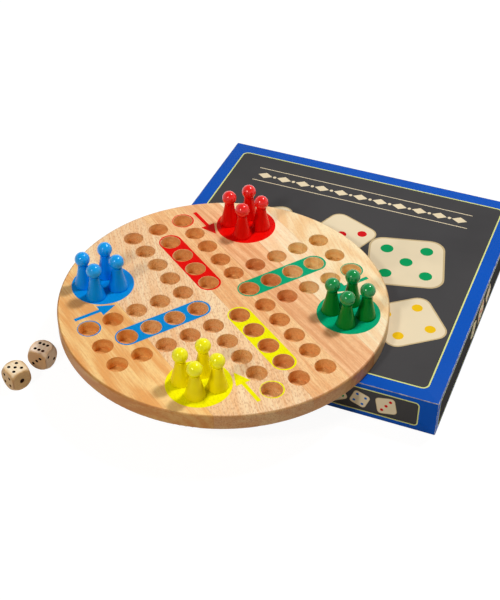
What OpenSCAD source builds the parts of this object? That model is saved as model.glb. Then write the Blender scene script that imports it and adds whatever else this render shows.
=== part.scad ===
// Wooden ludo set. A round board of edge-glued staves, drilled with flat-bottomed fields and
// screen-printed in four colours, lies on its closed card carton. Four pawns stand on each
// starting disc and two dice lie on the table. Millimetres, +Z up, origin at the centre of the
// carton's underside.

/* [Board] */
// Distance between neighbouring fields of an arm
field_pitch = 20; // [18:0.5:26]
// Distance of the innermost field rows from the board's two axes
inner_row = 22.75; // [20:0.25:28]
// Wood outside the centre of the outermost fields
rim_margin = 23.25; // [18:0.25:30]
// Thickness of the board
board_t = 13; // [10:0.5:18]
// Radius of the eased outer edge
edge_r = 1.5; // [0.5:0.1:3]
// Room between a pawn's foot and the wall of a drilled field
field_room = 0.15; // [0.1:0.05:0.5]
// Depth of a drilled field
field_depth = 9; // [3:0.5:9]
// Broken edge around the mouth of a field
field_ease = 0.1; // [0.1:0.1:0.8]
// Glue lines of the staves, as distances from the board's centre line
glue_lines = [-71, -3, 32, 61, 90];
// Turn of the board on the carton, in degrees
board_turn = 53.9; // [0:0.1:360]
// Place of the board's centre on the carton's lid
board_place = [-50, -94];

/* [Print] */
// Thickness of the printed ink
ink_t = 0.1; // [0.05:0.05:0.3]
// Bare wood left between a field and the ink around it
ink_gap = 0.1; // [0.1:0.1:0.6]
// Least width of a home lane's ink beside a field
lane_w = 1.25; // [0.6:0.05:2]
// Width of the printed line around a start field
start_ring_w = 0.8; // [0.4:0.1:2]
// Diameter of a starting disc
disc_d = 48; // [44:1:52]
// Bare wood between a starting disc and the board's edge
disc_edge_gap = 7; // [3:0.5:12]
// Direction of a starting disc from the centre, in degrees from its arm's right-hand side
disc_angle = 48; // [44:1:52]
// Width of an arrow's shaft
arrow_shaft_w = 3; // [1.5:0.1:4]
// Width of an arrow's head
arrow_head_w = 12; // [8:0.2:13]
// Length of an arrow's head
arrow_head_l = 13; // [8:0.5:15]
// Length of a whole arrow
arrow_l = 34; // [24:1:40]
// Distance of an arrow's tail past the centre of the start field
arrow_past = 5; // [0:0.5:8]
// Room between the line that touches a row of fields and an arrow's head
arrow_gap = 0.1; // [0.1:0.1:3]
// How far the whole print lies off the drilled fields, as printing leaves it
print_shift = [0.3, -0.1];

/* [Pawns] */
// Diameter of a pawn's foot
pawn_base_d = 15.5; // [12:0.5:16]
// Height of the broken edge around a pawn's foot
pawn_foot_edge = 0.4; // [0.2:0.1:0.8]
// Height of a pawn
pawn_h = 30; // [24:0.5:36]
// Diameter of a pawn's head
pawn_head_d = 11.5; // [9:0.25:12.5]
// Diameter of a pawn's neck
pawn_neck_d = 7.8; // [6:0.1:8.5]
// Depth that a pawn's head is sunk into its neck
pawn_head_sink = 0.6; // [0.3:0.1:1]
// How strongly a pawn's cone is hollowed, where 1 is straight
pawn_hollow = 1.35; // [1:0.05:2]
// Half the least room between two pawns on a disc
pawn_room = 1.25; // [1.25:0.25:3]

/* [Dice] */
// Size of a die across its faces
die_size = 16; // [12:0.5:20]
// Radius of the sphere that rounds a die's corners, as a multiple of half its size
die_round = 1.43; // [1.35:0.01:1.6]
// Diameter of a drilled pip
pip_d = 2.6; // [1.4:0.1:2.6]
// Diameter of the single pip of the one
ace_d = 3.9; // [2:0.1:4]
// Depth of a drilled pip
pip_depth = 0.6; // [0.3:0.1:1]
// Distance of a face's outer pips from its middle lines
pip_offset = 3.4; // [2.8:0.1:3.8]
// Gap on the table between each die and the board's edge seen from above
die_gaps = [24.5, 3];
// Direction of each die from the board's centre, in degrees
die_angles = [218.4, 211.4];
// Turn of each die, in degrees
die_turns = [-27, -4];

/* [Carton] */
// Thickness of the carton's grey board
card_t = 1.2; // [0.8:0.1:2]
// Thickness of the paper glued over it
paper_t = 0.2; // [0.1:0.05:0.4]
// Room between the stored board and the base's walls
store_gap = 0.5; // [0.3:0.1:3]
// Spare height over the stored board and the pieces below it
store_spare = 0.4; // [0.2:0.1:5]
// Gap all round between the base and the lid that slides over it
lid_gap = 0.4; // [0.2:0.1:1]
// Height of the lid's rim above the table
lid_lift = 0.8; // [0.3:0.1:4]
// Depth that the paper is turned inside at a rim
turn_in = 14; // [8:1:20]

/* [Hidden] */
$fn = 64;
cut = 1;                // how far a cutting body runs past what it cuts
arc_steps = 10;         // straight pieces in the curve of a pawn's cone
COLOURS = ["red", "green", "yellow", "blue"];
PAINTS = ["#e00000", "#00a878", "#f8f000", "#008cdc"];
LACQUERS = ["#c81410", "#006e32", "#ebd700", "#0078d7"];
ARM_TURNS = [0, -90, 180, 90];
STAVE_TONES = ["#e8b57c", "#eebe94", "#e4ae80", "#dba275", "#f2d0a0", "#f0c996"];
STAVES = [for (i = [0:len(glue_lines)]) str("stave_", i + 1)];
CORNERS = [[1, 1], [1, -1], [-1, -1], [-1, 1]];
// How far each pawn stands from its even place on the disc, in the order of CORNERS
NUDGES = [
    [[0, 0.5], [0.5, 0.5], [0, -0.5], [0, 1.5]],
    [[0.5, 0.5], [0, 0.5], [-0.5, 0], [-0.5, 0.5]],
    [[-1.5, -0.5], [0, 0], [-0.5, 0], [-1, 0.5]],
    [[-1.5, 2.5], [0.5, 0.5], [0, 0], [-1, 1.5]]
];
// Pips of each die in the order top, bottom, front, back, right, left
DIE_FACES = [[5, 2, 4, 3, 1, 6], [6, 1, 3, 4, 2, 5]];

function row(k) = inner_row + (k - 1) * field_pitch;
board_d = 2 * (row(5) + rim_margin);
board_r = board_d / 2;
field_r = pawn_base_d / 2 + field_room;
ink_hole_r = field_r + field_ease + ink_gap;
lane_r = ink_hole_r + lane_w;
disc_from_centre = board_r - disc_edge_gap - disc_d / 2;
disc_place = disc_from_centre * [cos(disc_angle), sin(disc_angle)];
arrow_x = inner_row + field_r + arrow_gap + arrow_head_w / 2;
arrow_tail_y = row(5) + arrow_past;

// The arm's fields: two columns and the end field between them, then the home row
ARM_FIELDS = concat(
    [for (k = [2:5]) [inner_row, row(k)]],
    [for (k = [1:5]) [-inner_row, row(k)]],
    [[0, row(5)]],
    [for (k = [1:4]) [0, row(k)]]
);

store_in = board_d + 2 * store_gap;
base_in = store_in + 2 * paper_t;
base_card = base_in + 2 * card_t;
base_w = base_card + 2 * paper_t;
base_h = card_t + max(die_size, pawn_base_d) + board_t + store_spare;
lid_store = base_w + 2 * lid_gap;
lid_in = lid_store + 2 * paper_t;
lid_card = lid_in + 2 * card_t;
lid_w = lid_card + 2 * paper_t;
lid_under = base_h + paper_t;
carton_h = lid_under + card_t + paper_t;
ink_z = carton_h + board_t;
pawn_z = ink_z + ink_t;

// A square block about the Z axis, between two heights
module block(width, low, high) {
    translate([-width / 2, -width / 2, low]) cube([width, width, high - low]);
}

module base_board() {
    color("#b9b2a4") difference() {
        block(base_card, 0, base_h);
        block(base_in, card_t, base_h + cut);
    }
}

// The paper runs up the outside, over the rim and down inside it
module base_wrap() {
    color("#0a4fb0") difference() {
        block(base_w, 0, base_h + paper_t);
        block(base_card, -cut, base_h);
        block(store_in, -cut, base_h + paper_t + cut);
    }
    color("#0a4fb0") difference() {
        block(base_in, base_h - turn_in, base_h);
        block(store_in, base_h - turn_in - cut, base_h + cut);
    }
}

module lid_board() {
    color("#b9b2a4") difference() {
        block(lid_card, lid_lift + paper_t, lid_under + card_t);
        block(lid_in, lid_lift, lid_under);
    }
}

module lid_wrap() {
    color("#0050be") difference() {
        block(lid_w, lid_lift, carton_h);
        block(lid_card, lid_lift + paper_t, lid_under + card_t);
        block(lid_store, lid_lift - cut, lid_under);
    }
    color("#0050be") difference() {
        block(lid_in, lid_lift + paper_t, lid_lift + turn_in);
        block(lid_store, lid_lift, lid_lift + turn_in + cut);
    }
}

// Puts the board's own drawing, centred and with its red arm along +Y, on the lid
module on_board(z) {
    translate([board_place.x, board_place.y, z]) rotate(board_turn) children();
}

module board_blank() {
    rotate_extrude() {
        square([board_r - edge_r, board_t]);
        translate([0, edge_r]) square([board_r, board_t - 2 * edge_r]);
        for (z = [edge_r, board_t - edge_r]) translate([board_r - edge_r, z]) circle(edge_r);
    }
}

module field() {
    translate([0, 0, board_t - field_depth]) cylinder(r = field_r, h = field_depth + cut);
    translate([0, 0, board_t - field_ease])
        cylinder(r1 = field_r, r2 = field_r + 2 * field_ease, h = 2 * field_ease);
}

module fields() {
    for (turn = ARM_TURNS, at = ARM_FIELDS) rotate(turn) translate(at) field();
}

// One stave: the slice of the board between two glue lines
module stave(i) {
    left = i == 0 ? -board_r - cut : glue_lines[i - 1];
    right = i == len(glue_lines) ? board_r + cut : glue_lines[i];
    color(STAVE_TONES[i % len(STAVE_TONES)]) on_board(carton_h) difference() {
        intersection() {
            board_blank();
            translate([left, -board_r - cut, -cut])
                cube([right - left, 2 * (board_r + cut), board_t + 2 * cut]);
        }
        fields();
    }
}

module lane_2d() {
    for (k = [1, 4]) translate([0, row(k)]) circle(lane_r);
    translate([-lane_r, row(1)]) square([2 * lane_r, row(4) - row(1)]);
}

module start_ring_2d() {
    translate([inner_row, row(5)]) circle(ink_hole_r + start_ring_w);
}

module arrow_2d() {
    translate([arrow_x, arrow_tail_y]) polygon([
        [-arrow_shaft_w / 2, 0], [-arrow_shaft_w / 2, arrow_head_l - arrow_l],
        [-arrow_head_w / 2, arrow_head_l - arrow_l], [0, -arrow_l],
        [arrow_head_w / 2, arrow_head_l - arrow_l], [arrow_shaft_w / 2, arrow_head_l - arrow_l],
        [arrow_shaft_w / 2, 0]
    ]);
}

// All that is printed in one colour: home lane, ring of the start field, arrow, starting disc.
// The fields are drilled through the print, so it ends at them wherever it lies.
module arm_print(c) {
    color(PAINTS[c]) on_board(ink_z) difference() {
        translate(print_shift) rotate(ARM_TURNS[c]) {
            linear_extrude(ink_t) lane_2d();
            linear_extrude(ink_t) start_ring_2d();
            linear_extrude(ink_t) arrow_2d();
            translate(disc_place) cylinder(d = disc_d, h = ink_t);
        }
        rotate(ARM_TURNS[c]) for (at = ARM_FIELDS)
            translate([at.x, at.y, -cut]) cylinder(r = ink_hole_r, h = ink_t + 2 * cut);
    }
}

// Radius of a pawn's cone at a share of its height from 0 to 1, hollowed like a trumpet
function cone_r(share) =
    pawn_neck_d / 2 + (pawn_base_d - pawn_neck_d) / 2 * pow(1 - share, pawn_hollow);
cone_h = pawn_h - pawn_head_d + pawn_head_sink;

module pawn_shape() {
    rotate_extrude() polygon(concat(
        [[0, 0], [cone_r(0) - pawn_foot_edge, 0]],
        [for (i = [0:arc_steps])
            [cone_r(i / arc_steps), pawn_foot_edge + (cone_h - pawn_foot_edge) * i / arc_steps]],
        [[0, cone_h]]
    ));
    translate([0, 0, pawn_h - pawn_head_d / 2]) sphere(d = pawn_head_d);
}

module pawn(c, i) {
    even = (pawn_base_d / 2 + pawn_room) * CORNERS[i];
    color(LACQUERS[c]) on_board(pawn_z) rotate(ARM_TURNS[c])
        translate(disc_place + even + NUDGES[c][i]) pawn_shape();
}

// Places of a face's pips, in units of pip_offset
function pips(n) = concat(
    n % 2 == 1 ? [[0, 0]] : [],
    n > 1 ? [[-1, -1], [1, 1]] : [],
    n > 3 ? [[-1, 1], [1, -1]] : [],
    n == 6 ? [[0, 1], [0, -1]] : []
);

// The pips of one face, cut into the face that looks up from the die's middle
module face_pips(n) {
    for (at = pips(n))
        translate([pip_offset * at.x, pip_offset * at.y, die_size / 2 - pip_depth])
            cylinder(d = n == 1 ? ace_d : pip_d, h = pip_depth + cut, $fn = 32);
}

module die(i) {
    faces = DIE_FACES[i];
    reach = board_r + die_gaps[i] + die_round * die_size / 2;
    at = board_place + reach * [cos(die_angles[i]), sin(die_angles[i])];
    color("#ead2ab") translate([at.x, at.y, die_size / 2]) rotate(die_turns[i]) difference() {
        intersection() {
            cube(die_size, center = true);
            sphere(r = die_round * die_size / 2);
        }
        face_pips(faces[0]);
        rotate([180, 0, 0]) face_pips(faces[1]);
        rotate([90, 0, 0]) face_pips(faces[2]);
        rotate([-90, 0, 0]) face_pips(faces[3]);
        rotate([0, 90, 0]) face_pips(faces[4]);
        rotate([0, -90, 0]) face_pips(faces[5]);
    }
}

base_board();
base_wrap();
lid_board();
lid_wrap();
for (i = [0:len(glue_lines)]) stave(i);
for (c = [0:3]) arm_print(c);
for (c = [0:3], i = [0:3])
    pawn(c, i);
die(0);  // die_1
die(1);  // die_2
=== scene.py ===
import math

import bmesh
import bpy
from mathutils import Matrix, Vector


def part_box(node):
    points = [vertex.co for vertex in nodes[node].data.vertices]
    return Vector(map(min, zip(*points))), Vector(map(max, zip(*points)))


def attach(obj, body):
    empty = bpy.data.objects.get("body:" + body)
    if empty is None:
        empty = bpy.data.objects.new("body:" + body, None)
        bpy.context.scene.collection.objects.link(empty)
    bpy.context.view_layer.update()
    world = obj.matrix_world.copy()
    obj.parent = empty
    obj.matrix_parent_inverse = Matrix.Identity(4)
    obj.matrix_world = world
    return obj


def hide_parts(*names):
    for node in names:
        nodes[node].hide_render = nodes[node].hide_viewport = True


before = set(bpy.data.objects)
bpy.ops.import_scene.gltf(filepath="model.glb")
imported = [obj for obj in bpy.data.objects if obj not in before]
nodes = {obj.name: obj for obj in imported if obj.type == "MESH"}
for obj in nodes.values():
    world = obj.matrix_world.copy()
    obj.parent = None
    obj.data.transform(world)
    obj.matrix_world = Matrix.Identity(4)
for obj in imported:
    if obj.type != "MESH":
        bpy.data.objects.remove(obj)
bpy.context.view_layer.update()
mm = 0.001
colours = ("red", "green", "yellow", "blue")
scene = bpy.context.scene
scene.view_settings.view_transform = "Standard"
print("frame loaded")


# small tools for node trees
def put(tree, kind, feeds=(), **settings):
    # adds a node: a feed that is a socket is linked, any other value is written on the socket
    node = tree.nodes.new(kind)
    for name, value in settings.items():
        setattr(node, name, value)
    for key, value in feeds.items() if isinstance(feeds, dict) else enumerate(feeds):
        if isinstance(value, bpy.types.NodeSocket):
            tree.links.new(value, node.inputs[key])
        elif value is not None:
            node.inputs[key].default_value = value
    return node


def calc(tree, operation, a, b=None, clamp=False):
    return put(tree, "ShaderNodeMath", (a, b), operation=operation, use_clamp=clamp).outputs[0]


def ease(tree, value, low, high, start=0.0, end=1.0):
    # start at low, end at high, with a soft turn at both
    feeds = (value, low, high, start, end)
    return put(tree, "ShaderNodeMapRange", feeds, interpolation_type="SMOOTHSTEP").outputs[0]


def blend(tree, factor, a, b, how="MIX"):
    return put(tree, "ShaderNodeMix", {0: factor, 6: a, 7: b}, data_type="RGBA", blend_type=how).outputs[2]


def stretch(tree, vector, scale):
    return put(tree, "ShaderNodeMapping", {0: vector, 3: scale}).outputs[0]


def noise(tree, vector, scale, detail, roughness=0.5):
    feeds = {"Vector": vector, "Scale": scale, "Detail": detail, "Roughness": roughness}
    return put(tree, "ShaderNodeTexNoise", feeds).outputs[0]


def paint(red, green, blue):
    # a colour read off a screen, 0 to 255, as the linear colour that Blender wants
    def linear(c):
        c /= 255
        return c / 12.92 if c <= 0.04045 else ((c + 0.055) / 1.055) ** 2.4
    return (linear(red), linear(green), linear(blue), 1.0)


def darker(tone, share):
    return tuple(share * c for c in tone[:3]) + (1,)


def glossTint(tone, white):
    # gloss that takes the tone of what lies below it, so that a dark colour keeps its depth in a white room
    return tuple(white + (1 - white) * c for c in tone[:3]) + (1,)


def newGroup(name, takes, gives):
    tree = bpy.data.node_groups.new(name, "ShaderNodeTree")
    for label, kind, value in takes:
        socket = tree.interface.new_socket(label, in_out="INPUT", socket_type="NodeSocket" + kind)
        if value is not None:
            socket.default_value = value
    for label in gives:
        tree.interface.new_socket(label, in_out="OUTPUT", socket_type="NodeSocketFloat")
    return tree, tree.nodes.new("NodeGroupInput").outputs, tree.nodes.new("NodeGroupOutput").inputs


def useGroup(tree, group, **feeds):
    node = tree.nodes.new("ShaderNodeGroup")
    node.node_tree = group
    for name, value in feeds.items():
        socket = node.inputs[name]
        if isinstance(value, bpy.types.NodeSocket):
            tree.links.new(value, socket)
        else:
            socket.default_value = value
    return node.outputs


def newMaterial(name):
    material = bpy.data.materials.new(name)
    material.use_nodes = True
    tree = material.node_tree
    return material, tree, tree.nodes["Principled BSDF"]


def objectPlace(tree):
    return put(tree, "ShaderNodeTexCoord").outputs["Object"]


def bump(tree, shader, height, depth, strength):
    feeds = {"Height": height, "Distance": depth, "Strength": strength}
    tree.links.new(put(tree, "ShaderNodeBump", feeds).outputs[0], shader.inputs["Normal"])


def corners(*names):
    boxes = [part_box(name) for name in names]
    low = Vector([min(box[0][i] for box in boxes) for i in range(3)])
    high = Vector([max(box[1][i] for box in boxes) for i in range(3)])
    return low, high


staveNames = sorted(name for name in nodes if name.startswith("stave_"))
boardLow, boardHigh = corners(*staveNames)
boardMiddle = (boardLow + boardHigh) / 2
boardRadius = (boardHigh.x - boardLow.x) / 2

cameraStand = {
    "aside": (0.0191, 0.0060),  # of the board's middle, at the height of its face
    "distance": 0.9612,
    "azimuth": 21.54,
    "elevation": 39.91,
    "roll": 0.43,
    "lens": 75.96,
    "near": 0.05,
}


def setCamera(stand):
    turn, tilt = math.radians(stand["azimuth"]), math.radians(stand["elevation"])
    back = Vector((math.sin(turn) * math.cos(tilt), -math.cos(turn) * math.cos(tilt), math.sin(tilt)))
    camera = bpy.data.objects.new("camera", bpy.data.cameras.new("camera"))
    camera.data.lens = stand["lens"]
    camera.data.clip_start = stand["near"]
    facing = back.to_track_quat("Z", "Y").to_matrix() @ Matrix.Rotation(math.radians(stand["roll"]), 3, "Z")
    aim = Vector((boardMiddle.x + stand["aside"][0], boardMiddle.y + stand["aside"][1], boardHigh.z))
    place = aim + stand["distance"] * back
    camera.matrix_world = Matrix.Translation(place) @ facing.to_4x4()
    scene.collection.objects.link(camera)
    scene.camera = camera


lamps = {
    "keyLamp": {
        "side": (0.254, 0.385, 0.887), "distance": 1.5, "size": 0.20,
        "share": 0.68, "tint": (0.99, 1.0, 1.03),
    },
    "fillLamp": {
        "side": (-0.24, -0.72, 0.65), "distance": 1.5, "size": 0.18,
        "share": 0.29, "tint": (1.0, 0.96, 0.90),
    },
}
room = {
    "share": 0.20, "tint": (1.0, 0.80, 0.55, 1),  # the light that fills the shadows is warmer
    "ceiling": 0.30, "ceilingFrom": (0.3, 0.8),  # gloss shows white walls under a ceiling of this tone
    "floorTone": 0.7, "floorGlow": 1.15, "floorMix": 0.82, "floorReach": 3.0,
}


def setLamps(lamps):
    for name, lamp in lamps.items():
        light = bpy.data.lights.new(name, "AREA")
        light.size = lamp["size"]
        light.color = lamp["tint"]
        # a share of 1 would show a colour as it is written
        light.energy = math.pi ** 2 * lamp["distance"] ** 2 * lamp["share"]
        side = Vector(lamp["side"]).normalized()
        thing = bpy.data.objects.new(name, light)
        turn = side.to_track_quat("Z", "Y").to_matrix().to_4x4()
        thing.matrix_world = Matrix.Translation(side * lamp["distance"]) @ turn
        scene.collection.objects.link(thing)


def seenDirectly(tree):
    ray = put(tree, "ShaderNodeLightPath").outputs
    shiny = calc(tree, "MAXIMUM", ray["Is Glossy Ray"], ray["Is Transmission Ray"])
    return calc(tree, "MAXIMUM", ray["Is Camera Ray"], shiny)


def setRoom(room):
    world = bpy.data.worlds.new("studio")
    scene.world = world
    world.use_nodes = True
    tree = world.node_tree
    tree.nodes.clear()
    seen = seenDirectly(tree)
    direction = put(tree, "ShaderNodeTexCoord").outputs["Generated"]
    up = put(tree, "ShaderNodeSeparateXYZ", (direction,)).outputs[2]
    walls = ease(tree, up, *room["ceilingFrom"], 1.0, room["ceiling"])
    strength = ease(tree, seen, 0, 1, room["share"], walls)
    colour = blend(tree, seen, room["tint"], (1, 1, 1, 1))
    sky = put(tree, "ShaderNodeBackground", {"Color": colour, "Strength": strength})
    put(tree, "ShaderNodeOutputWorld", {"Surface": sky.outputs[0]})

    material, tree, shader = newMaterial("floorWhite")
    tone = room["floorTone"]
    shader.inputs["Base Color"].default_value = (tone, tone, tone, 1)
    shader.inputs["Roughness"].default_value = 1.0
    shader.inputs["Specular IOR Level"].default_value = 0.0
    glow = put(tree, "ShaderNodeEmission", {"Strength": room["floorGlow"]})
    factor = calc(tree, "MULTIPLY", seenDirectly(tree), room["floorMix"])
    mixed = put(tree, "ShaderNodeMixShader", (factor, shader.outputs[0], glow.outputs[0]))
    tree.links.new(mixed.outputs[0], tree.nodes["Material Output"].inputs["Surface"])
    reach = room["floorReach"]
    spots = [(x * reach, y * reach, 0) for x, y in ((-1, -1), (1, -1), (1, 1), (-1, 1))]
    mesh = bpy.data.meshes.new("floor")
    mesh.from_pydata(spots, [], [(0, 1, 2, 3)])
    floor = bpy.data.objects.new("floor", mesh)
    mesh.materials.append(material)
    scene.collection.objects.link(floor)


setCamera(cameraStand)
setLamps(lamps)
setRoom(room)
print("camera, lamps and floor set")


# effects that several materials share
woodNoise = {  # stretch with the grain along Y, scale, detail and roughness
    "fibres": ((1, 0.05, 1), 800, 3, 0.65),
    "streaks": ((1, 0.045, 1), 170, 3, 0.6),
    "dashes": ((1, 0.22, 1), 900, 1, 0.5),
    "flecks": ((1, 0.34, 1), 1000, 2, 0.65),
    "clouds": ((1, 0.2, 1), 40, 3, 0.5),
}
poreCuts = {  # the noise at which a pore starts and is whole, and its weight
    "dashes": (0.60, 0.72, 0, 0.35),
    "flecks": (0.50, 0.62, 0, 0.65),
}
seedStep = (0.021, 0.173)  # metres between the samples of one wood and the next


def makeWoodFibre():
    # rings round a pith below the face, which climbs along Y and so leaves arches on it; fibres and pores
    # lie along Y, turned by the tilt; lengths in metres, ring pitch in mm
    tree, given, out = newGroup("woodFibre", (
        ("Place", "Vector", None), ("Seed", "Float", 0.0), ("Tilt", "Float", 0.0),
        ("Ring Pitch", "Float", 4.0), ("Pith Side", "Float", 0.0), ("Pith Depth", "Float", 0.06),
        ("Pith Climb", "Float", 0.0), ("Wander", "Float", 3.0), ("Pore Share", "Float", 0.5),
    ), ("Rings", "Fibres", "Streaks", "Pores", "Clouds", "Height"))
    turned = put(tree, "ShaderNodeVectorRotate", {"Vector": given["Place"], "Angle": given["Tilt"]},
                 rotation_type="Z_AXIS").outputs[0]
    x, y, z = put(tree, "ShaderNodeSeparateXYZ", (turned,)).outputs
    depth = calc(tree, "ADD", given["Pith Depth"], calc(tree, "MULTIPLY", given["Pith Climb"], y))
    aside = calc(tree, "SUBTRACT", x, given["Pith Side"])
    spot = (aside, calc(tree, "MULTIPLY", y, 0.1), calc(tree, "ADD", z, depth))
    log = put(tree, "ShaderNodeCombineXYZ", spot).outputs[0]
    # a wave of scale 314 has rings 1 mm apart
    rings = put(tree, "ShaderNodeTexWave", {
        "Vector": log, "Scale": calc(tree, "DIVIDE", 314.0, given["Ring Pitch"]),
        "Distortion": given["Wander"], "Detail": 2.0, "Detail Scale": 0.25, "Detail Roughness": 0.5,
    }, wave_type="RINGS", rings_direction="Y", wave_profile="SIN").outputs[1]
    steps = [calc(tree, "MULTIPLY", given["Seed"], step) for step in seedStep]
    shift = put(tree, "ShaderNodeCombineXYZ", steps).outputs[0]
    place = put(tree, "ShaderNodeVectorMath", (turned, shift), operation="ADD").outputs[0]
    found = {}
    for name, (shape, *settings) in woodNoise.items():
        found[name] = noise(tree, stretch(tree, place, shape), *settings)
    pits = [ease(tree, found[name], *cut) for name, cut in poreCuts.items()]
    pored = calc(tree, "MULTIPLY", calc(tree, "ADD", *pits), given["Pore Share"])
    height = calc(tree, "SUBTRACT", calc(tree, "MULTIPLY", found["fibres"], 0.5), pored)
    gives = {
        "Rings": rings, "Fibres": found["fibres"], "Streaks": found["streaks"], "Pores": pored,
        "Clouds": found["clouds"], "Height": height,
    }
    for name, value in gives.items():
        tree.links.new(value, out[name])
    return tree


def makeEdgeRub():
    # 1 on the edges of a block and 0 past the reach, broken up as handling rubs them
    tree, given, out = newGroup("edgeRub", (
        ("Place", "Vector", None), ("Middle", "Vector", None), ("Half", "Vector", None),
        ("Reach", "Float", 0.002), ("Grain", "Float", 300.0), ("Share", "Float", 0.5),
    ), ("Mask",))
    feeds = (given["Place"], given["Middle"])
    off = put(tree, "ShaderNodeVectorMath", feeds, operation="SUBTRACT").outputs[0]
    off = put(tree, "ShaderNodeVectorMath", (off,), operation="ABSOLUTE").outputs[0]
    depth = put(tree, "ShaderNodeVectorMath", (given["Half"], off), operation="SUBTRACT").outputs[0]
    x, y, z = put(tree, "ShaderNodeSeparateXYZ", (depth,)).outputs
    second = calc(tree, "MAXIMUM", calc(tree, "MINIMUM", x, y),
                  calc(tree, "MINIMUM", calc(tree, "MAXIMUM", x, y), z))  # distance to the nearest edge
    near = calc(tree, "SUBTRACT", 1.0, calc(tree, "DIVIDE", second, given["Reach"]), clamp=True)
    broken = noise(tree, given["Place"], given["Grain"], 4, 0.7)
    least = calc(tree, "SUBTRACT", 1.0, given["Share"])
    rubbed = calc(tree, "MULTIPLY", near, calc(tree, "ADD", broken, 0.5))
    tree.links.new(ease(tree, rubbed, least, calc(tree, "ADD", least, 0.25)), out["Mask"])
    return tree


def makePaperFibre():
    tree, given, out = newGroup("paperFibre", (
        ("Place", "Vector", None), ("Fineness", "Float", 900.0),
    ), ("Fibres", "Clouds"))
    place = given["Place"]
    fibres = noise(tree, stretch(tree, place, (1, 0.45, 1)), given["Fineness"], 4, 0.6)
    tree.links.new(fibres, out["Fibres"])
    tree.links.new(noise(tree, place, 14, 3, 0.55), out["Clouds"])
    return tree


woodFibre = makeWoodFibre()
edgeRub = makeEdgeRub()
paperFibre = makePaperFibre()


board = {
    "turn": 53.9,
    "glueLines": (-71, -3, 32, 61, 90),  # mm from the board's centre line
    "glueWidth": 0.28, "glueShare": 0.26,
    "glueTone": paint(150, 96, 56),
    "poreTone": paint(196, 132, 90), "poreShare": 0.7,
    "drilledRawAndShadeTint": (0.93, 0.85, 0.68, 1),  # darker inside the fields: partly the raw drilled wood, partly painted shade in the recesses
    "drilledRawAndShadeFrom": (0.9, 0.3), "drilledRawAndShadeTo": (0.5, 2),  # mm below the face and above the underside
    # the rim's side and the band inside it darker: partly end grain, partly painted shade on the side
    "rimEndGrainAndShadeTint": (0.60, 0.49, 0.36, 1),
    "rimEndGrainAndShadeFrom": (1.6, 0.5),  # mm inside the outline
    "contrast": (0.34, 0.66),  # of light and dark wood
    "fibreShare": 0.55, "streakShare": 0.45, "cloudShare": 0.10,
    "roughness": (0.34, 0.52), "fibreRoughness": 0.16,  # of varnished and raw wood
    "sheen": 0.25, "relief": 0.05,
}
# each stave: light and dark wood, the pores, the tilt of the grain in degrees, and the rings: their pitch
# in mm, the side, depth and climb of the pith, their wander and their share of the tone
staves = (
    {"light": paint(255, 216, 148), "dark": paint(238, 172, 100), "pores": 0.30, "tilt": 0,
     "rings": (7.0, -0.103, -0.016, 0.12, 2.5, 0.13)},
    {"light": paint(255, 228, 186), "dark": paint(244, 194, 142), "pores": 0.9, "tilt": 20,
     "rings": (6.0, -0.02, 0.06, 0.0, 4.0, 0.06)},
    {"light": paint(255, 214, 158), "dark": paint(238, 174, 116), "pores": 0.55, "tilt": 2,
     "rings": (5.0, 0.1, 0.08, 0.0, 3.0, 0.07)},
    {"light": paint(254, 206, 156), "dark": paint(230, 164, 112), "pores": 0.40, "tilt": -2,
     "rings": (6.0, 0.2, 0.05, 0.0, 3.0, 0.10)},
    {"light": paint(255, 242, 206), "dark": paint(252, 214, 166), "pores": 0.30, "tilt": 2,
     "rings": (5.0, 0.0, 0.10, 0.0, 3.0, 0.08)},
    {"light": paint(255, 236, 192), "dark": paint(246, 206, 150), "pores": 0.30, "tilt": 14,
     "rings": (6.0, 0.10, -0.01, 0.16, 2.5, 0.16)},
)
screenInk = {
    "tones": {
        "red": paint(232, 8, 3), "green": paint(0, 166, 118),
        "yellow": paint(250, 247, 4), "blue": paint(4, 139, 220),
    },
    "seed": 9.0, "pores": 0.7, "poreTint": (0.35, 0.3, 0.25, 1), "poreShare": 0.35,
    "cloudShare": 0.08, "roughness": (0.30, 0.42), "sheen": 0.15, "relief": 0.03,
}


def boardPlace(tree):
    # the board's own drawing: centred, with the grain along Y
    middle = (boardMiddle.x, boardMiddle.y, 0)
    feeds = {0: objectPlace(tree), 1: middle, 2: (0, 0, math.radians(board["turn"]))}
    return put(tree, "ShaderNodeMapping", feeds, vector_type="TEXTURE").outputs[0]


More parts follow.
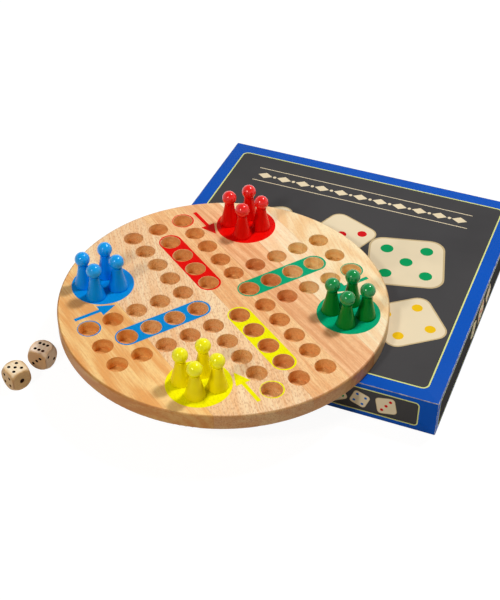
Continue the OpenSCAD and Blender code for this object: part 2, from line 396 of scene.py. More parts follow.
def staveWood(index):
    stave = staves[index]
    pitch, side, depth, climb, wander, ringShare = stave["rings"]
    material, tree, shader = newMaterial(f"staveWood{index + 1}")
    place = boardPlace(tree)
    wood = useGroup(tree, woodFibre, **{
        "Place": place, "Seed": 3.0 + 2.7 * index, "Tilt": math.radians(stave["tilt"]),
        "Ring Pitch": pitch, "Pith Side": side, "Pith Depth": depth, "Pith Climb": climb, "Wander": wander,
        "Pore Share": stave["pores"]})
    fibres = calc(tree, "MULTIPLY", wood["Fibres"], board["fibreShare"])
    grain = calc(tree, "ADD", fibres, calc(tree, "MULTIPLY", wood["Streaks"], board["streakShare"]))
    rings = calc(tree, "MULTIPLY", wood["Rings"], ringShare)
    tone = calc(tree, "ADD", rings, calc(tree, "MULTIPLY", grain, 1 - ringShare))
    clouds = ease(tree, wood["Clouds"], 0.2, 0.8, -board["cloudShare"], board["cloudShare"])
    tone = calc(tree, "ADD", tone, clouds)
    colour = blend(tree, ease(tree, tone, *board["contrast"]), stave["dark"], stave["light"])
    colour = blend(tree, calc(tree, "MULTIPLY", wood["Pores"], board["poreShare"]), colour, board["poreTone"])
    across, _, upwards = put(tree, "ShaderNodeSeparateXYZ", (place,)).outputs
    flat = stretch(tree, place, (1, 1, 0))
    reach = put(tree, "ShaderNodeVectorMath", (flat,), operation="LENGTH").outputs[1]
    rim = ease(tree, reach, *[boardRadius - inset * mm for inset in board["rimEndGrainAndShadeFrom"]])
    drilled = ease(tree, upwards, *[boardHigh.z - depth * mm for depth in board["drilledRawAndShadeFrom"]], 1, 0)
    above = ease(tree, upwards, *[boardLow.z + height * mm for height in board["drilledRawAndShadeTo"]])
    sunkRawAndShade = calc(tree, "MULTIPLY", calc(tree, "MULTIPLY", drilled, above), calc(tree, "SUBTRACT", 1.0, rim))
    # the fields' walls and floors darkened: partly raw wood, partly painted shade in the recesses
    colour = blend(tree, sunkRawAndShade, colour, board["drilledRawAndShadeTint"], "MULTIPLY")
    # painted shade, partly end grain: the rim and the band inside it darker
    colour = blend(tree, rim, colour, board["rimEndGrainAndShadeTint"], "MULTIPLY")
    lines = [line * mm for line in board["glueLines"]]
    for line in lines[max(index - 1, 0):index + 1]:
        off = calc(tree, "ABSOLUTE", calc(tree, "SUBTRACT", across, line))
        glued = ease(tree, off, 0.0, board["glueWidth"] * mm, board["glueShare"], 0.0)
        colour = blend(tree, glued, colour, board["glueTone"])
    tree.links.new(colour, shader.inputs["Base Color"])
    rough = calc(tree, "MULTIPLY", wood["Fibres"], board["fibreRoughness"])
    rough = calc(tree, "ADD", rough, ease(tree, sunkRawAndShade, 0, 1, *board["roughness"]))
    tree.links.new(rough, shader.inputs["Roughness"])
    shader.inputs["Specular IOR Level"].default_value = board["sheen"]
    bump(tree, shader, wood["Height"], board["relief"] * mm, 0.6)
    return material


def printInk(colour):
    material, tree, shader = newMaterial(f"printInk{colour.title()}")
    feeds = {"Place": boardPlace(tree), "Seed": screenInk["seed"], "Pore Share": screenInk["pores"]}
    wood = useGroup(tree, woodFibre, **feeds)
    base = screenInk["tones"][colour]
    pored = calc(tree, "MULTIPLY", wood["Pores"], screenInk["poreShare"])
    tone = blend(tree, pored, base, screenInk["poreTint"], "MULTIPLY")
    clouds = ease(tree, wood["Clouds"], 0.35, 0.8, 0, screenInk["cloudShare"])
    tone = blend(tree, clouds, tone, (1, 1, 1, 1), "SOFT_LIGHT")
    tree.links.new(tone, shader.inputs["Base Color"])
    tree.links.new(ease(tree, wood["Fibres"], 0.3, 0.7, *screenInk["roughness"]), shader.inputs["Roughness"])
    shader.inputs["Specular IOR Level"].default_value = screenInk["sheen"]
    shader.inputs["Specular Tint"].default_value = glossTint(base, 0.15)
    bump(tree, shader, wood["Height"], screenInk["relief"] * mm, 0.5)
    return material


def setMaterial(thing, material):
    thing.data.materials.clear()
    thing.data.materials.append(material)


for index, name in enumerate(staveNames):
    setMaterial(nodes[name], staveWood(index))
for colour in colours:
    setMaterial(nodes[f"print_{colour}"], printInk(colour))
print("board finished")


# pieces made by Geometry Nodes
def newShape(name, takes):
    tree = bpy.data.node_groups.new(name, "GeometryNodeTree")
    tree.interface.new_socket("Geometry", in_out="INPUT", socket_type="NodeSocketGeometry")
    for label, kind in takes:
        tree.interface.new_socket(label, in_out="INPUT", socket_type="NodeSocket" + kind)
    tree.interface.new_socket("Geometry", in_out="OUTPUT", socket_type="NodeSocketGeometry")
    return tree, tree.nodes.new("NodeGroupInput").outputs, tree.nodes.new("NodeGroupOutput").inputs


def closeShape(tree, shape, material, out, mark=None, markMaterial=None):
    # every tree ends the same way: real geometry with its material, and another one on marked faces
    real = put(tree, "GeometryNodeRealizeInstances", (shape,)).outputs[0]
    real = put(tree, "GeometryNodeSetMaterial", {"Geometry": real, "Material": material}).outputs[0]
    if mark:
        marked = put(tree, "GeometryNodeInputNamedAttribute", (mark,), data_type="BOOLEAN").outputs[0]
        feeds = {"Geometry": real, "Selection": marked, "Material": markMaterial}
        real = put(tree, "GeometryNodeSetMaterial", feeds).outputs[0]
    tree.links.new(real, out["Geometry"])


def grow(name, tree, sizes, points=(), **numbers):
    # runs a tree on loose points and returns the finished mesh piece
    seed = bpy.data.meshes.new(name)
    seed.from_pydata([tuple(p) for p in points], [], [])
    for label, values in numbers.items():
        attribute = seed.attributes.new(label, "FLOAT", "POINT")
        attribute.data.foreach_set("value", values)
    thing = bpy.data.objects.new(name, seed)
    scene.collection.objects.link(thing)
    modifier = thing.modifiers.new("grow", "NODES")
    modifier.node_group = tree
    keys = {item.name: item.identifier for item in tree.interface.items_tree if item.in_out == "INPUT"}
    for label, value in sizes.items():
        modifier[keys[label]] = value
    mesh = bpy.data.meshes.new_from_object(thing.evaluated_get(bpy.context.evaluated_depsgraph_get()))
    for empty in [i for i, material in enumerate(mesh.materials) if not material][::-1]:
        mesh.materials.pop(index=empty)  # a cut leaves one behind
    thing.modifiers.clear()
    thing.data = mesh
    mesh.name = name
    bpy.data.meshes.remove(seed)
    return thing


def tidyMesh(thing, crease):
    # doubles merged, faces outwards, smooth except at creases
    work = bmesh.new()
    work.from_mesh(thing.data)
    bmesh.ops.remove_doubles(work, verts=work.verts, dist=1e-6)
    bmesh.ops.recalc_face_normals(work, faces=work.faces)
    work.to_mesh(thing.data)
    work.free()
    thing.data.polygons.foreach_set("use_smooth", [True] * len(thing.data.polygons))
    thing.data.set_sharp_from_angle(angle=math.radians(crease))
    return thing


pawn = {
    "footWidth": 15.5, "footEdge": 0.5, "neckWidth": 7.8, "headWidth": 11.5,
    "neckHeight": 19.0,  # where the cone ends
    "creaseWidth": 6.0,  # of the groove below the head
    "hollow": 0.74,  # share of the cone's height at which its curve bends
    "around": 64,
    "lacquer": {
        "red": paint(236, 10, 4), "green": paint(1, 132, 46),
        "yellow": paint(255, 240, 4), "blue": paint(0, 154, 255),
    },
    "roughness": (0.17, 0.21), "relief": 0.02,
    # painted light: lighter tones for the heads, where light from above falls
    "headPaintedLight": {
        "red": paint(244, 30, 24), "green": paint(2, 146, 72),
        "yellow": paint(255, 252, 8), "blue": paint(0, 166, 255),
    },
    "headLightAndCoatHeight": 19.0, "headLightAndCoatEdge": 1.5,  # from here up the heads get a lighter painted tone, painted light from above, and a glossier coat
    "dipCoat": {"red": 0.55, "green": 0.55, "yellow": 0.35, "blue": 0.38},
    "coatRoughness": 0.18, "coatIor": 1.6,
}


def makeTurnedPawn():
    # a profile of four curves, drawn with X as the radius and -Y as the height, is turned round the axis
    tree, given, out = newShape("turnedPawn", (
        ("Foot Width", "Float"), ("Foot Edge", "Float"), ("Neck Width", "Float"), ("Head Width", "Float"),
        ("Height", "Float"), ("Neck Height", "Float"), ("Crease Width", "Float"), ("Hollow", "Float"),
        ("Around", "Int"), ("Lacquer", "Material")))

    def half(value):
        return calc(tree, "MULTIPLY", value, 0.5)

    def spot(radius, height):
        return put(tree, "ShaderNodeCombineXYZ", (radius, calc(tree, "MULTIPLY", height, -1.0))).outputs[0]

    def curve(steps, *spots):
        return put(tree, "GeometryNodeCurveQuadraticBezier", (steps, *spots)).outputs[0]

    foot, neck, head = half(given["Foot Width"]), half(given["Neck Width"]), half(given["Head Width"])
    edge, crease = given["Foot Edge"], half(given["Crease Width"])
    inner = calc(tree, "SUBTRACT", foot, edge)
    sole = put(tree, "GeometryNodeCurvePrimitiveLine", (spot(0.0, 0.0), spot(inner, 0.0))).outputs[0]
    corner = curve(5, spot(inner, 0.0), spot(foot, 0.0), spot(foot, edge))
    bend = calc(tree, "MULTIPLY", given["Neck Height"], given["Hollow"])
    cone = curve(20, spot(foot, edge), spot(neck, bend), spot(neck, given["Neck Height"]))
    # the head's arc starts at the crease and ends at the pole
    angle = calc(tree, "ARCCOSINE", calc(tree, "DIVIDE", crease, head))
    sweep = calc(tree, "SUBTRACT", -math.pi / 2, angle)
    feeds = {"Resolution": 32, "Radius": head, "Start Angle": angle, "Sweep Angle": sweep}
    arc = put(tree, "GeometryNodeCurveArc", feeds, mode="RADIUS").outputs[0]
    centre = calc(tree, "SUBTRACT", given["Height"], head)
    arc = put(tree, "GeometryNodeTransform", {"Geometry": arc, "Translation": spot(0.0, centre)}).outputs[0]
    under = calc(tree, "SUBTRACT", centre, calc(tree, "MULTIPLY", head, calc(tree, "SINE", angle)))
    shoulder = curve(6, spot(neck, given["Neck Height"]), spot(neck, under), spot(crease, under))
    parts = put(tree, "GeometryNodeJoinGeometry")
    for part in (sole, corner, cone, shoulder, arc):
        tree.links.new(part, parts.inputs[0])
    wire = put(tree, "GeometryNodeCurveToMesh", (parts.outputs[0],)).outputs[0]
    wire = put(tree, "GeometryNodeMergeByDistance", {"Geometry": wire, "Distance": 1e-6}).outputs[0]
    profile = put(tree, "GeometryNodeMeshToCurve", (wire,)).outputs[0]
    feeds = {"Resolution": given["Around"], "Radius": 1e-7}
    axis = put(tree, "GeometryNodeCurvePrimitiveCircle", feeds).outputs[0]
    turned = put(tree, "GeometryNodeCurveToMesh", {"Curve": axis, "Profile Curve": profile}).outputs[0]
    closeShape(tree, turned, given["Lacquer"], out)
    return tree


def pawnLacquer(colour):
    material, tree, shader = newMaterial(f"pawnLacquer{colour.title()}")
    place = objectPlace(tree)
    wood = useGroup(tree, woodFibre, **{"Place": place, "Seed": 5.0, "Pore Share": 0.4})
    base = pawn["lacquer"][colour]
    clouds = noise(tree, place, 90, 2, 0.5)
    tone = blend(tree, ease(tree, clouds, 0.3, 0.7), darker(base, 0.90), base)
    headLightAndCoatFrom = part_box(f"pawn_{colour}_1")[0].z + pawn["headLightAndCoatHeight"] * mm
    upwards = put(tree, "ShaderNodeSeparateXYZ", (place,)).outputs[2]
    onHead = ease(tree, upwards, headLightAndCoatFrom, headLightAndCoatFrom + pawn["headLightAndCoatEdge"] * mm)
    # painted light: the heads lighter than the bodies
    tone = blend(tree, onHead, tone, pawn["headPaintedLight"][colour])
    tree.links.new(tone, shader.inputs["Base Color"])
    peel = noise(tree, place, 300, 2, 0.5)
    tree.links.new(ease(tree, peel, 0.3, 0.7, *pawn["roughness"]), shader.inputs["Roughness"])
    shader.inputs["Specular IOR Level"].default_value = 0.5
    shader.inputs["Specular Tint"].default_value = glossTint(base, 0.12)
    tree.links.new(calc(tree, "MULTIPLY", onHead, pawn["dipCoat"][colour]), shader.inputs["Coat Weight"])
    shader.inputs["Coat Roughness"].default_value = pawn["coatRoughness"]
    shader.inputs["Coat IOR"].default_value = pawn["coatIor"]
    height = calc(tree, "ADD", peel, calc(tree, "MULTIPLY", wood["Height"], 0.2))
    bump(tree, shader, height, pawn["relief"] * mm, 0.25)
    return material


turnedPawn = makeTurnedPawn()
for colour in colours:
    lacquer = pawnLacquer(colour)
    for number in range(1, 5):
        body = f"pawn_{colour}_{number}"
        low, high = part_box(body)
        sizes = {
            "Foot Width": pawn["footWidth"] * mm, "Foot Edge": pawn["footEdge"] * mm,
            "Neck Width": pawn["neckWidth"] * mm, "Head Width": pawn["headWidth"] * mm,
            "Height": high.z - low.z, "Neck Height": pawn["neckHeight"] * mm,
            "Crease Width": pawn["creaseWidth"] * mm, "Hollow": pawn["hollow"],
            "Around": pawn["around"], "Lacquer": lacquer,
        }
        piece = grow(f"pawnTurned_{colour}_{number}", turnedPawn, sizes)
        piece.data.transform(Matrix.Translation(((low.x + high.x) / 2, (low.y + high.y) / 2, low.z)))
        tidyMesh(piece, 50)
        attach(piece, body)
        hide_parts(body)
print("pawns turned")


dice = {
    "size": 16.0, "roundRadius": 11.44, "softness": 0.035, "cells": 40,
    "pipWidth": 2.6, "pipDepth": 0.8, "aceWidth": 3.9, "aceDepth": 1.1, "pipOffset": 3.4,
    "pipTone": paint(26, 14, 6), "pipToneWarm": paint(80, 30, 14), "pipRoughness": (0.5, 0.7),
    "rings": {"Ring Pitch": 2.2, "Pith Depth": 0.02, "Wander": 2.0}, "ringShare": 0.2,
    "pores": 0.25, "poreShare": 0.5, "contrast": (0.3, 0.65),
    "rubbed": paint(212, 168, 116), "rubShare": 0.25,
    "grainAndShadeFrom": (0.38, 0.49),  # of the size, from the middle
    "roughness": (0.42, 0.56), "relief": 0.03,
}
# turn and grain in degrees; the counts on top, bottom, front, back, right and left; the tints darken the
# upright faces but never the top: partly end grain and side grain, partly painted shade
diceThrown = {
    "die_1": {
        "turn": -27, "grain": 90, "counts": (5, 2, 4, 3, 1, 6),
        "light": paint(255, 242, 214), "dark": paint(250, 226, 186),
        "endGrainAndShadeTint": (0.56, 0.40, 0.20, 1), "sideGrainAndShadeTint": (0.58, 0.42, 0.22, 1),
    },
    "die_2": {
        "turn": -4, "grain": 0, "counts": (6, 1, 3, 4, 2, 5),
        "light": paint(255, 244, 228), "dark": paint(252, 226, 204),
        "endGrainAndShadeTint": (0.57, 0.39, 0.21, 1), "sideGrainAndShadeTint": (1.0, 0.92, 0.78, 1),
    },
}
faceTurns = [Matrix.Identity(3), Matrix.Rotation(math.pi, 3, "X")]
faceTurns += [Matrix.Rotation(side * math.pi / 2, 3, axis) for axis in "XY" for side in (1, -1)]


def pipSpots(count):
    spots = [(0, 0)] if count % 2 else []
    spots += [(-1, -1), (1, 1)] if count > 1 else []
    spots += [(-1, 1), (1, -1)] if count > 3 else []
    return spots + ([(0, 1), (0, -1)] if count == 6 else [])


def makeDrilledDie():
    # a cube tumbled down to a sphere at its corners, with a ball-ended cutter at each point
    tree, given, out = newShape("drilledDie", (
        ("Size", "Float"), ("Round Radius", "Float"), ("Softness", "Float"), ("Cells", "Int"),
        ("Wood", "Material"), ("Pip Paint", "Material")))
    size = put(tree, "ShaderNodeCombineXYZ", (given["Size"],) * 3).outputs[0]
    cells = given["Cells"]
    cube = put(tree, "GeometryNodeMeshCube", (size, cells, cells, cells)).outputs[0]
    where = put(tree, "GeometryNodeInputPosition").outputs[0]
    far = put(tree, "ShaderNodeVectorMath", (where,), operation="LENGTH").outputs[1]
    feeds = (calc(tree, "DIVIDE", given["Round Radius"], far), 1.0, given["Softness"])
    pull = put(tree, "ShaderNodeMath", feeds, operation="SMOOTH_MIN").outputs[0]
    moved = put(tree, "ShaderNodeVectorMath", {0: where, "Scale": pull}, operation="SCALE").outputs[0]
    block = put(tree, "GeometryNodeSetPosition", {"Geometry": cube, "Position": moved}).outputs[0]
    ball = put(tree, "GeometryNodeMeshIcoSphere", (1.0, 3)).outputs[0]
    feeds = {"Geometry": ball, "Name": "dimple", "Value": True}
    ball = put(tree, "GeometryNodeStoreNamedAttribute", feeds, data_type="BOOLEAN", domain="FACE").outputs[0]
    width = put(tree, "GeometryNodeInputNamedAttribute", ("cutter",), data_type="FLOAT").outputs[0]
    feeds = {"Points": given["Geometry"], "Instance": ball, "Scale": width}
    balls = put(tree, "GeometryNodeInstanceOnPoints", feeds).outputs[0]
    balls = put(tree, "GeometryNodeRealizeInstances", (balls,)).outputs[0]
    feeds = {0: block, 1: balls}
    drilled = put(tree, "GeometryNodeMeshBoolean", feeds, operation="DIFFERENCE", solver="EXACT").outputs[0]
    closeShape(tree, drilled, given["Wood"], out, "dimple", given["Pip Paint"])
    return tree


def dieWood(name, seed):
    material, tree, shader = newMaterial(f"dieWood{seed}")
    low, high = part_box(name)
    die = diceThrown[name]
    turn = math.radians(die["turn"] + die["grain"])
    feeds = {0: objectPlace(tree), 1: (low + high) / 2, 2: (0, 0, turn)}
    place = put(tree, "ShaderNodeMapping", feeds, vector_type="TEXTURE").outputs[0]
    wood = useGroup(tree, woodFibre, **{
        "Place": place, "Seed": seed, "Pore Share": dice["pores"], **dice["rings"]})
    rings = calc(tree, "MULTIPLY", wood["Rings"], dice["ringShare"])
    tone = calc(tree, "ADD", rings, calc(tree, "MULTIPLY", wood["Fibres"], 1 - dice["ringShare"]))
    colour = blend(tree, ease(tree, tone, *dice["contrast"]), die["dark"], die["light"])
    colour = blend(tree, calc(tree, "MULTIPLY", wood["Pores"], dice["poreShare"]), colour, dice["rubbed"])
    across, along, _ = put(tree, "ShaderNodeSeparateXYZ", (place,)).outputs
    start, end = [share * dice["size"] * mm for share in dice["grainAndShadeFrom"]]
    # painted shade, partly grain: the upright faces darker than the top
    for axis, tint in ((along, die["endGrainAndShadeTint"]), (across, die["sideGrainAndShadeTint"])):
        off = ease(tree, calc(tree, "ABSOLUTE", axis), start, end)
        colour = blend(tree, off, colour, tint, "MULTIPLY")
    half = (dice["size"] / 2 * mm,) * 3
    worn = useGroup(tree, edgeRub, **{
        "Place": place, "Middle": (0, 0, 0), "Half": half,
        "Reach": 0.004, "Grain": 500.0, "Share": 0.7})["Mask"]
    colour = blend(tree, calc(tree, "MULTIPLY", worn, dice["rubShare"]), colour, dice["rubbed"])
    tree.links.new(colour, shader.inputs["Base Color"])
    tree.links.new(ease(tree, wood["Fibres"], 0.3, 0.7, *dice["roughness"]), shader.inputs["Roughness"])
    bump(tree, shader, wood["Height"], dice["relief"] * mm, 0.6)
    return material


def pipPaint():
    material, tree, shader = newMaterial("pipPaint")
    patches = noise(tree, objectPlace(tree), 260, 3, 0.6)
    colour = blend(tree, ease(tree, patches, 0.5, 0.75), dice["pipTone"], dice["pipToneWarm"])
    tree.links.new(colour, shader.inputs["Base Color"])
    tree.links.new(ease(tree, patches, 0.3, 0.7, *dice["pipRoughness"]), shader.inputs["Roughness"])
    shader.inputs["Specular IOR Level"].default_value = 0.05
    return material


def cutterBall(width, depth):
    # radius of a ball that leaves a dimple of that width and depth, and the ball's height over the face
    radius = (width ** 2 / 4 + depth ** 2) / (2 * depth)
    return radius * mm, (dice["size"] / 2 + radius - depth) * mm


drilledDie = makeDrilledDie()
paintedPip = pipPaint()
for seed, (name, die) in enumerate(diceThrown.items(), 1):
    points, widths = [], []
    for faceTurn, count in zip(faceTurns, die["counts"]):
        which = "ace" if count == 1 else "pip"
        radius, height = cutterBall(dice[which + "Width"], dice[which + "Depth"])
        for x, y in pipSpots(count):
            spot = Vector((x * dice["pipOffset"] * mm, y * dice["pipOffset"] * mm, height))
            points.append(faceTurn @ spot)
            widths.append(radius)
    sizes = {
        "Size": dice["size"] * mm, "Round Radius": dice["roundRadius"] * mm, "Softness": dice["softness"],
        "Cells": dice["cells"], "Wood": dieWood(name, seed), "Pip Paint": paintedPip,
    }
    piece = grow(name.replace("die", "dieDrilled"), drilledDie, sizes, points, cutter=widths)
    low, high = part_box(name)
    turned = Matrix.Rotation(math.radians(die["turn"]), 4, "Z")
    piece.data.transform(Matrix.Translation((low + high) / 2) @ turned)
    tidyMesh(piece, 35)
    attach(piece, name)
    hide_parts(name)
print("dice drilled")


carton = {
    "paper": 0.12,  # mm from the outside of the node to the bare paper; the printed layers fill it
    "layer": 0.03,  # mm for each printed layer
    "skin": 0.06,  # mm, the paper's thickness over the greyboard
    "edge": 0.7, "corner": 0.9,  # mm, rounding along the top edges and at the upright corners
    "wall": 1.6, "turnIn": 14.0,
    "lidBlue": paint(1, 84, 192), "baseBlue": paint(1, 70, 160),
    "scuff": paint(214, 224, 240), "scuffReach": 0.0018, "scuffGrain": 170.0,
    "scuffShare": {"lid": 0.40, "base": 0.30, "print": 0.20},
    "grey": paint(168, 160, 146), "greyDark": paint(128, 120, 106), "fleck": paint(92, 84, 74),
    "greyEdge": 0.6,  # mm, rounding of the greyboard
    "sheen": 0.06, "roughness": (0.34, 0.44), "greyRoughness": (0.85, 0.95),
}


def printedPaper(name, colour, node, scuffed, sheen):
    material, tree, shader = newMaterial(name)
    place = objectPlace(tree)
    low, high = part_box(node)
    paper = useGroup(tree, paperFibre, Place=place)
    tone = blend(tree, ease(tree, paper["Clouds"], 0.3, 0.7), darker(colour, 0.86), colour)
    worn = useGroup(tree, edgeRub, **{
        "Place": place, "Middle": (low + high) / 2, "Half": (high - low) / 2,
        "Reach": carton["scuffReach"], "Grain": carton["scuffGrain"], "Share": scuffed})["Mask"]
    tone = blend(tree, worn, tone, carton["scuff"])
    tree.links.new(tone, shader.inputs["Base Color"])
    tree.links.new(ease(tree, paper["Fibres"], 0.3, 0.7, *carton["roughness"]), shader.inputs["Roughness"])
    shader.inputs["Specular IOR Level"].default_value = sheen
    bump(tree, shader, paper["Fibres"], 0.02 * mm, 0.3)
    return material


def greyBoard():
    material, tree, shader = newMaterial("greyBoard")
    place = objectPlace(tree)
    paper = useGroup(tree, paperFibre, Place=place, Fineness=500.0)
    tone = blend(tree, ease(tree, paper["Fibres"], 0.3, 0.7), carton["greyDark"], carton["grey"])
    flecks = ease(tree, noise(tree, place, 1300, 1), 0.66, 0.72, 0, 0.5)
    tone = blend(tree, flecks, tone, carton["fleck"])
    tree.links.new(tone, shader.inputs["Base Color"])
    rough = ease(tree, paper["Fibres"], 0.3, 0.7, *carton["greyRoughness"])
    tree.links.new(rough, shader.inputs["Roughness"])
    bump(tree, shader, paper["Fibres"], 0.08 * mm, 0.6)
    return material


def squareRing(work, half, radius, height, steps=4):
    ring = []
    for quarter in range(4):
        turn = Matrix.Rotation(quarter * math.pi / 2, 3, "Z")
        for step in range(steps + 1):
            angle = step / steps * math.pi / 2
            x = half - radius + radius * math.cos(angle)
            y = half - radius + radius * math.sin(angle)
            ring.append(work.verts.new(turn @ Vector((x, y, height))))
    return ring


def addMesh(name, work, material):
    mesh = bpy.data.meshes.new(name)
    work.to_mesh(mesh)
    work.free()
    mesh.materials.append(material)
    thing = bpy.data.objects.new(name, mesh)
    scene.collection.objects.link(thing)
    return thing


def arcSteps(count=4):
    return [step / count * math.pi / 2 for step in range(count + 1)]


def trayPaper(name, node, top, material):
    # the paper skin over a tray's walls, round the rim and down inside; with top it also covers the top
    low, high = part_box(node)
    half = (high.x - low.x) / 2 / mm - carton["paper"]
    bottom, ceiling = low.z / mm, high.z / mm - carton["paper"]
    edge, skin, wall = carton["edge"], carton["skin"], carton["wall"] - carton["paper"]
    if top:
        path = [(edge - edge * math.sin(a), ceiling - edge + edge * math.cos(a)) for a in arcSteps()]
        rim, inward = bottom, 1
    else:
        path = [(0, bottom)]
        rim, inward = ceiling, -1
    soft = wall / 2 - 0.05  # radius of the folded rim
    path += [(soft - soft * math.cos(a), rim + inward * (soft - soft * math.sin(a))) for a in arcSteps()]
    path += [(wall - soft + soft * math.sin(a), rim + inward * (soft - soft * math.cos(a)))
             for a in arcSteps()]
    path += [(wall, rim + inward * carton["turnIn"]), (wall - skin, rim + inward * carton["turnIn"])]
    path += [(wall - skin, rim + inward * (soft + skin)), (wall / 2, rim + inward * 2 * skin)]
    path += [(skin, rim + inward * (soft + skin))]
    path += [(skin, ceiling - edge), (edge, ceiling - skin)] if top else [(skin, bottom)]
    work = bmesh.new()
    rings = []
    for inset, height in path:
        radius = max(carton["corner"] - inset, 0.02)
        rings.append(squareRing(work, (half - inset) * mm, radius * mm, height * mm))
    count = len(rings[0])
    pairs = list(zip(rings, rings[1:])) + ([] if top else [(rings[-1], rings[0])])
    for upper, lower in pairs:
        for i in range(count):
            j = (i + 1) % count
            work.faces.new((upper[i], upper[j], lower[j], lower[i]))
    if top:
        work.faces.new(rings[0])
        work.faces.new(rings[-1])
    return tidyMesh(addMesh(name, work, material), 30)


def softenNode(node, material):
    # the greyboard under the paper gets the same rounded edges
    thing = nodes[node]
    setMaterial(thing, material)
    thing.modifiers.new("weld", "WELD").merge_threshold = 1e-5
    rounded = thing.modifiers.new("round", "BEVEL")
    rounded.width = carton["greyEdge"] * mm
    rounded.segments = 3
    rounded.limit_method = "ANGLE"
    rounded.angle_limit = math.radians(40)


lidLow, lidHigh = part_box("lid_wrap")
scuffs, sheen = carton["scuffShare"], carton["sheen"]
lidMaterial = printedPaper("lidPaperBlue", carton["lidBlue"], "lid_wrap", scuffs["lid"], sheen)
baseMaterial = printedPaper("basePaperBlue", carton["baseBlue"], "base_wrap", scuffs["base"], sheen)
greyMaterial = greyBoard()
for node in ("lid_board", "base_board"):
    softenNode(node, greyMaterial)
lidPaper = trayPaper("lidPaper", "lid_wrap", True, lidMaterial)
basePaper = trayPaper("basePaper", "base_wrap", False, baseMaterial)
for piece, body, node, slot in (
        (lidPaper, "lid", "lid_wrap", "lid_paper"), (basePaper, "carton_base", "base_wrap", "base_paper")):
    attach(piece, body)
    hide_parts(node)
print("carton covered")


# each face of the lid is a sheet to draw on: X to the right, Y up the sheet, Z out of it, in mm.
def sheetOf(side):
    half = (lidHigh.x - lidLow.x) / 2 / mm - carton["paper"]
    level = (lidLow.z + lidHigh.z) / 2 / mm
    if side == "top":
        return Matrix.Translation((0, 0, lidHigh.z / mm - carton["paper"]))
    turn = {"front": 0, "right": 90, "back": 180, "left": 270}[side]
    upright = Matrix.Rotation(math.pi / 2, 4, "X")
    return Matrix.Rotation(math.radians(turn), 4, "Z") @ Matrix.Translation((0, -half, level)) @ upright


design = {
    "top": {"width": 236, "height": 236, "corner": 5, "line": 1.1},
    "front": {"width": 232, "height": 22, "corner": 3, "line": 0.9},
    "right": {"width": 248, "height": 25, "corner": 3, "line": 0.9},
    "back": {"width": 232, "height": 22, "corner": 3, "line": 0.9},
    "left": {"width": 248, "height": 25, "corner": 3, "line": 0.9},
}
# printed dice: x, y, size, turn, count, colour of the pips
printedDice = {
    "top": ((62, 18, 62, 14, 5, "green"), (2, 34, 46, -22, 3, "red"), (84, -52, 50, 38, 4, "yellow"),
            (12, -34, 54, -8, 6, "blue"), (-60, 22, 50, 30, 2, "green"), (-58, -46, 56, 10, 5, "red")),
    "front": ((92, 0, 15, 12, 3, "red"), (72, 0, 13, -20, 4, "blue"), (54, 0, 14, 30, 5, "green")),
    "right": ((0, 0, 17, 14, 5, "red"), (-24, 0, 14, -24, 3, "green"), (24, 0, 14, 36, 2, "blue")),
    "back": ((0, 0, 15, 12, 6, "red"), (-22, 0, 13, -20, 3, "green"), (22, 0, 13, 34, 4, "blue")),
    "left": ((0, 0, 17, -14, 4, "yellow"), (-24, 0, 14, 24, 5, "red"), (24, 0, 14, -36, 1, "green")),
}
# shares of a printed die's size
flatDie = {"corner": 0.20, "inner": 0.95, "innerCorner": 0.18, "pipOffset": 0.26, "pip": 0.085}
band = {
    "y": 90, "count": 11, "pitch": 17.5, "long": 6.5, "high": 4.2, "dot": 1.5,
    "rule": 0.8, "ruleGap": 9.5,
}
inksOnPaper = {
    "charcoal": paint(74, 74, 76), "line": paint(226, 234, 150),
    "cream": paint(236, 222, 190), "creamShade": paint(204, 184, 142),
    "red": paint(214, 30, 36), "green": paint(20, 160, 96),
    "yellow": paint(240, 196, 30), "blue": paint(20, 110, 200),
}
prints = {ink: bmesh.new() for ink in inksOnPaper}


def prism(work, outline, place, low, high):
    # a flat closed body: the outline from layer low to layer high of the print
    rings = [[work.verts.new((place @ Vector((x, y, level * carton["layer"]))) * mm) for x, y in outline]
             for level in (low, high)]
    work.faces.new(rings[0][::-1])
    work.faces.new(rings[1])
    count = len(outline)
    for i in range(count):
        j = (i + 1) % count
        work.faces.new((rings[0][i], rings[0][j], rings[1][j], rings[1][i]))


def roundedOutline(width, height, corner, steps=6):
    outline = []
    for quarter in range(4):
        x = (width / 2 - corner) * (1 if quarter in (0, 3) else -1)
        y = (height / 2 - corner) * (1 if quarter in (0, 1) else -1)
        for step in range(steps + 1):
            angle = (quarter + step / steps) * math.pi / 2
            outline.append((x + corner * math.cos(angle), y + corner * math.sin(angle)))
    return outline


def makePrintedLine():
    # a printed line round a rounded rectangle, on its own sheet
    tree, given, out = newShape("printedLine", (
        ("Width", "Float"), ("Height", "Float"), ("Corner", "Float"),
        ("Line", "Float"), ("Thickness", "Float"), ("Ink", "Material")))
    path = put(tree, "GeometryNodeCurvePrimitiveQuadrilateral",
               {"Width": given["Width"], "Height": given["Height"]}).outputs[0]
    path = put(tree, "GeometryNodeFilletCurve", {
        "Curve": path, "Count": 8, "Radius": given["Corner"], "Limit Radius": True}, mode="POLY").outputs[0]
    section = put(tree, "GeometryNodeCurvePrimitiveQuadrilateral",
                  {"Width": given["Line"], "Height": given["Thickness"]}).outputs[0]
    line = put(tree, "GeometryNodeCurveToMesh", {"Curve": path, "Profile Curve": section}).outputs[0]
    closeShape(tree, line, given["Ink"], out)
    return tree


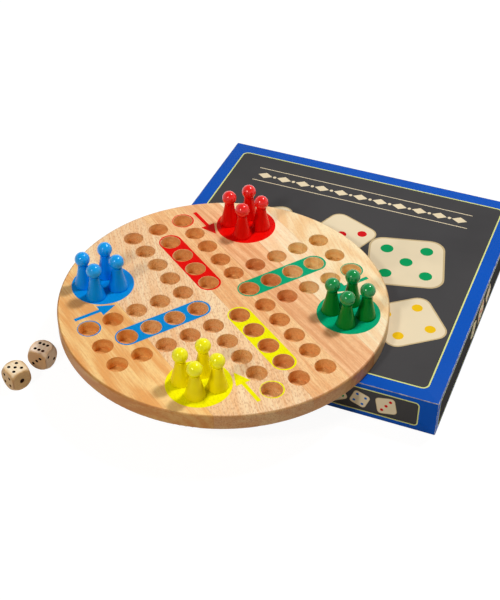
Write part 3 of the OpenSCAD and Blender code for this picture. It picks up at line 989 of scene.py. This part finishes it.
def makePrintedDots():
    # a flat dot on each point; four sides make it a lozenge
    tree, given, out = newShape("printedDots", (
        ("Sides", "Int"), ("Long", "Float"), ("High", "Float"),
        ("Thickness", "Float"), ("Ink", "Material")))
    dot = put(tree, "GeometryNodeMeshCylinder",
              {"Vertices": given["Sides"], "Radius": 1.0, "Depth": given["Thickness"]}).outputs[0]
    size = put(tree, "ShaderNodeCombineXYZ", (given["Long"], given["High"], 1.0)).outputs[0]
    dots = put(tree, "GeometryNodeInstanceOnPoints",
               {"Points": given["Geometry"], "Instance": dot, "Scale": size}).outputs[0]
    closeShape(tree, dots, given["Ink"], out)
    return tree


printedLine, printedDots = makePrintedLine(), makePrintedDots()
inkMaterials = {}
for ink, tone in inksOnPaper.items():
    name = "lidInk" + ink[0].upper() + ink[1:]
    inkMaterials[ink] = printedPaper(name, tone, "lid_wrap", scuffs["print"], 0.0)


def addToPrint(ink, thing, place):
    # joins a grown shape, drawn flat in metres, to the print of its ink
    lift = place.copy()
    lift.translation *= mm
    thing.data.transform(lift)
    prints[ink].from_mesh(thing.data)
    mesh = thing.data
    bpy.data.objects.remove(thing)
    bpy.data.meshes.remove(mesh)


def raised(place, low, high):
    return place @ Matrix.Translation((0, 0, (low + high) / 2 * carton["layer"]))


def printDots(ink, place, spots, long, high, sides=32, layers=(2, 4)):
    sizes = {
        "Sides": sides, "Long": long * mm, "High": high * mm,
        "Thickness": (layers[1] - layers[0]) * carton["layer"] * mm, "Ink": inkMaterials[ink]}
    thing = grow("dots", printedDots, sizes, [(x * mm, y * mm, 0) for x, y in spots])
    addToPrint(ink, thing, raised(place, *layers))


for side, panel in design.items():
    place = sheetOf(side)
    outline = roundedOutline(panel["width"], panel["height"], panel["corner"])
    prism(prints["charcoal"], outline, place, -0.5, 1)
    sizes = {
        "Width": panel["width"] * mm, "Height": panel["height"] * mm, "Corner": panel["corner"] * mm,
        "Line": panel["line"] * mm, "Thickness": 2.5 * carton["layer"] * mm, "Ink": inkMaterials["line"]}
    addToPrint("line", grow("line", printedLine, sizes), raised(place, -0.5, 2))

for side, drawn in printedDice.items():
    for x, y, size, turn, count, ink in drawn:
        place = sheetOf(side) @ Matrix.Translation((x, y, 0)) @ Matrix.Rotation(math.radians(turn), 4, "Z")
        prism(prints["creamShade"], roundedOutline(size, size, size * flatDie["corner"]), place, 0.5, 1.5)
        inner = size * flatDie["inner"]
        prism(prints["cream"], roundedOutline(inner, inner, size * flatDie["innerCorner"]), place, 1, 2)
        step, pip = size * flatDie["pipOffset"], size * flatDie["pip"]
        spots = [(px * step, py * step) for px, py in pipSpots(count)]
        printDots(ink, place, spots, pip, pip, layers=(1.5, 3))

place = sheetOf("top") @ Matrix.Translation((0, band["y"], 0))
along = [(i - (band["count"] - 1) / 2) * band["pitch"] for i in range(band["count"])]
between = [(a + b) / 2 for a, b in zip(along, along[1:])]
printDots("cream", place, [(x, 0) for x in along], band["long"], band["high"], 4, (0.5, 2))
printDots("cream", place, [(x, 0) for x in between], band["dot"], band["dot"], 24, (0.5, 2))
end = band["pitch"] * band["count"] / 2
for low in (-band["ruleGap"], band["ruleGap"]):
    high = low + band["rule"]
    prism(prints["cream"], [(-end, low), (end, low), (end, high), (-end, high)], place, 0.5, 2)

for ink, work in prints.items():
    piece = tidyMesh(addMesh("lidPrint" + ink[0].upper() + ink[1:], work, inkMaterials[ink]), 30)
    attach(piece, "lid")
print("lid printed")
